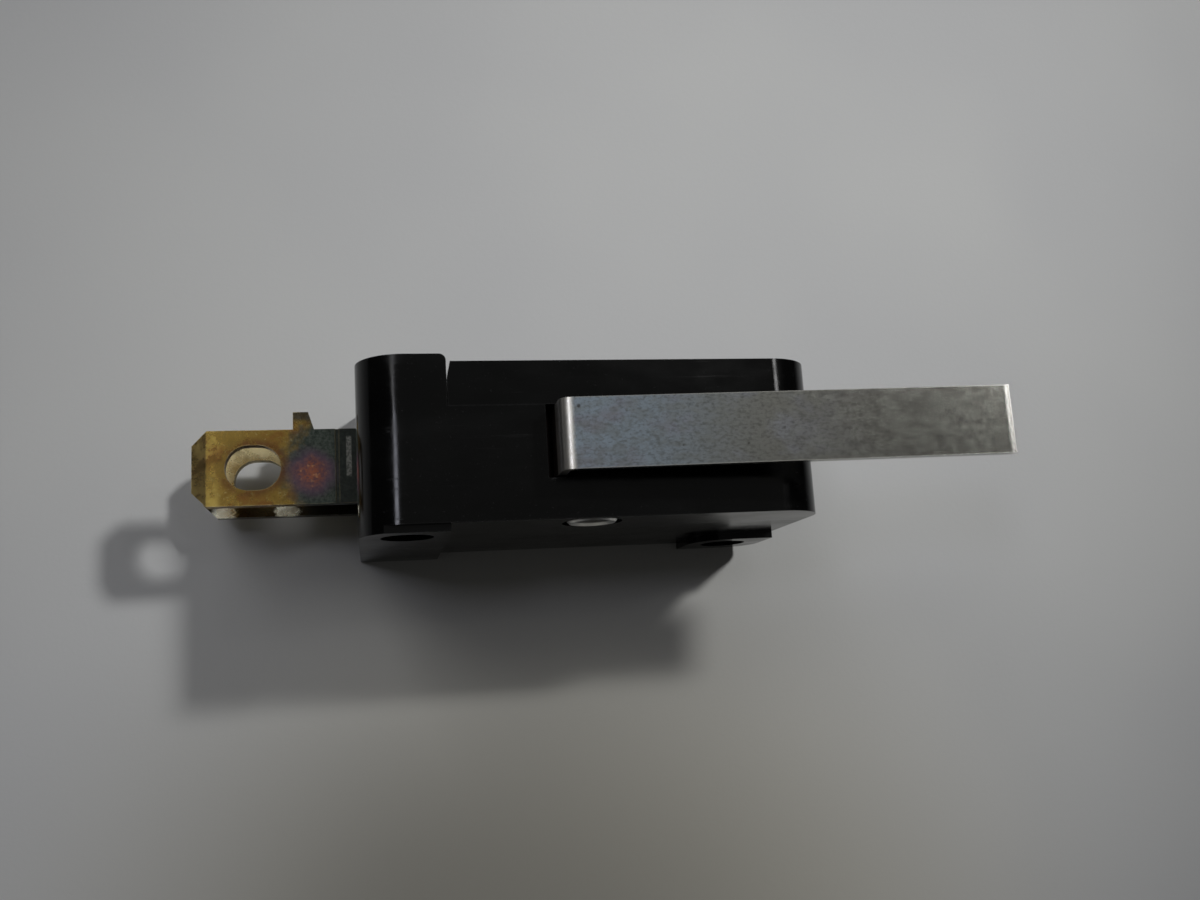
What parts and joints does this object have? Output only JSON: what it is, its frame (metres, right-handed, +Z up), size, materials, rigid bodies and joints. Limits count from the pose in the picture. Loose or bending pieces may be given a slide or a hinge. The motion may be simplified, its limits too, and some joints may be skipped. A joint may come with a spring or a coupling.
{
  "type": "limit switch",
  "caption": "Miniature snap-action limit switch: black moulded case, long flat steel lever over a pin plunger, brass tab terminals out of one end, round mounting holes through the sides.",
  "frame": {"origin": "the middle of the case's flat bottom face, halfway between the two mounting sides", "axes": "+X along the case towards the free end of the lever, +Y from the front mounting side to the cover, +Z up out of the bottom face towards the lever"},
  "size_m": [0.0483, 0.0104, 0.0196],
  "materials": {
    "housing": "moulded glossy black",
    "cover": "moulded glossy black",
    "case_rivet": "bright rolled rivet head",
    "lever": "satin stainless strip",
    "lever_pin": "ground steel",
    "plunger": "moulded black",
    "spring_anchor": "stamped steel",
    "plunger_return_spring": "spring steel wire",
    "common_terminal": "tarnished brass",
    "normally_open_terminal": "tarnished brass with heat marks",
    "pivot_bracket": "stamped brass",
    "bracket_rivet": "headed brass",
    "fixed_contact": "silver contact",
    "contact_blade": "copper alloy spring strip",
    "moving_contact": "silver contact",
    "rest_stop": "stamped brass",
    "tension_spring": "spring steel wire"
  },
  "bodies": {
    "case": {"housing": "housing", "cover": "cover", "case_rivet": "case_rivet", "lever_pin": "lever_pin", "common_terminal": "common_terminal", "normally_open_terminal": "normally_open_terminal", "pivot_bracket": "pivot_bracket", "bracket_rivet": "bracket_rivet", "fixed_contact": "fixed_contact", "rest_stop": "rest_stop", "plunger_return_spring": "plunger_return_spring"},
    "lever": {"lever": "lever"},
    "plunger": {"plunger": "plunger", "spring_anchor": "spring_anchor"},
    "contact_blade": {"contact_blade": "contact_blade", "moving_contact": "moving_contact"},
    "tension_spring": {"tension_spring": "tension_spring"}
  },
  "joints": [
    {"name": "lever_pivot", "type": "hinge", "parent": "case", "child": "lever", "pos_m": [-0.00305, 0, 0.01355], "axis": [0, 1, 0], "range_deg": [0, 7.5], "stiffness_Nm_per_rad": 0.1, "springref_deg": -4.58},
    {"name": "plunger_slide", "type": "slide", "parent": "case", "child": "plunger", "axis": [0, 0, 1], "range_m": [-0.00159, 0], "deforming": ["plunger_return_spring"]},
    {"name": "blade_rock", "type": "hinge", "parent": "case", "child": "contact_blade", "pos_m": [0.00485, 0, 0.01055], "axis": [0, 1, 0], "range_deg": [-4.1, 0]},
    {"name": "spring_swing", "type": "hinge", "parent": "plunger", "child": "tension_spring", "pos_m": [0.0071, 0, 0.0113], "axis": [0, 1, 0], "range_deg": [0, 5.3]}
  ],
  "couplings": [
    {"joint": "lever_pivot", "follows": "plunger_slide", "rad_per_m": -82.3},
    {"joint": "blade_rock", "follows": "plunger_slide", "rad_per_m": 44.44},
    {"joint": "spring_swing", "follows": "plunger_slide", "rad_per_m": -57.61}
  ]
}
